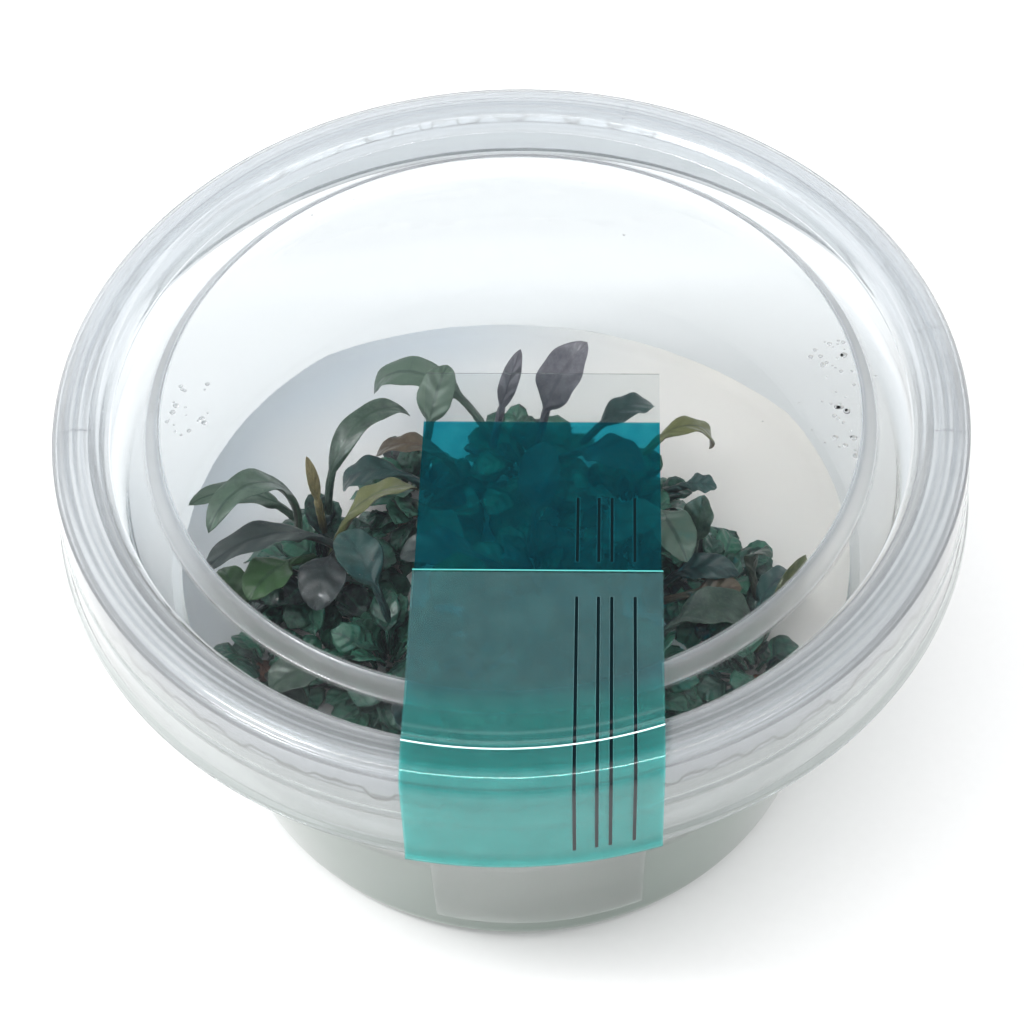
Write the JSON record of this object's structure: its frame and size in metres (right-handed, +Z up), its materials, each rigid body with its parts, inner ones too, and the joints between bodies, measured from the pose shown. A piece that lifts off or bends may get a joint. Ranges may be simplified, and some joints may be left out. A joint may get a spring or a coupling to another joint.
{
  "type": "bucephalandra in a culture cup",
  "caption": "Bucephalandra aquarium plant clump growing on jelly in a round clear tapered cup with a press-fit lid and a tinted film strip over the lid.",
  "frame": {"origin": "centre of the cup's base, on the surface that it stands on", "axes": "+Z up through the lid; -Y towards the side where the film strip folds down over the rim; +X to the right seen from there"},
  "size_m": [0.12, 0.1209, 0.0685],
  "materials": {
    "clear_plastic": "clear gloss",
    "tinted_film": "clear tinted film",
    "matt_film": "satin film",
    "clear_film": "clear film",
    "jelly": "cloudy wet",
    "crown": "damp",
    "leaf_green": "damp satin",
    "leaf_dark": "damp satin",
    "leaf_purple": "damp satin",
    "leaf_brown": "damp satin",
    "leaf_olive": "damp satin",
    "leaf_bright": "damp satin",
    "leaf_pale": "damp satin"
  },
  "bodies": {
    "root": {"cup": "clear_plastic", "lid": "clear_plastic", "label_strip": "tinted_film", "label_overlay": "matt_film", "cup_sticker": "clear_film", "jelly": "jelly", "left_crown": "crown", "back_left_crown": "crown", "back_crown": "crown", "back_right_crown": "crown", "right_crown": "crown", "middle_crown": "crown", "front_left_crown": "crown", "front_right_crown": "crown", "left_edge_crown": "crown", "right_edge_crown": "crown", "front_crown": "crown", "left_leaf_1": "leaf_green", "left_leaf_2": "leaf_green", "left_leaf_3": "leaf_purple", "left_leaf_4": "leaf_pale", "left_leaf_5": "leaf_green", "left_leaf_6": "leaf_olive", "left_leaf_7": "leaf_purple", "left_leaf_8": "leaf_bright", "back_leaf_1": "leaf_green", "back_leaf_2": "leaf_purple", "back_leaf_3": "leaf_purple", "back_leaf_4": "leaf_dark", "back_leaf_5": "leaf_dark", "back_left_leaf_1": "leaf_brown", "back_left_leaf_2": "leaf_dark", "back_left_leaf_3": "leaf_green", "back_left_leaf_4": "leaf_green", "back_right_leaf_1": "leaf_olive", "back_right_leaf_2": "leaf_dark", "back_right_leaf_3": "leaf_green", "right_leaf_1": "leaf_green", "right_leaf_2": "leaf_dark", "right_leaf_3": "leaf_brown", "right_leaf_4": "leaf_green", "right_edge_leaf_1": "leaf_olive", "middle_leaf_1": "leaf_dark", "middle_leaf_2": "leaf_green", "middle_leaf_3": "leaf_purple", "middle_leaf_4": "leaf_green", "front_left_leaf_1": "leaf_dark", "front_left_leaf_2": "leaf_bright", "front_left_leaf_3": "leaf_green", "front_left_leaf_4": "leaf_dark", "front_right_leaf_1": "leaf_green", "front_right_leaf_2": "leaf_dark", "front_right_leaf_3": "leaf_purple", "left_edge_leaf_1": "leaf_bright", "left_edge_leaf_2": "leaf_green", "right_edge_leaf_2": "leaf_dark", "right_edge_leaf_3": "leaf_green", "front_leaf_1": "leaf_bright", "front_leaf_2": "leaf_dark"}
  },
  "joints": []
}
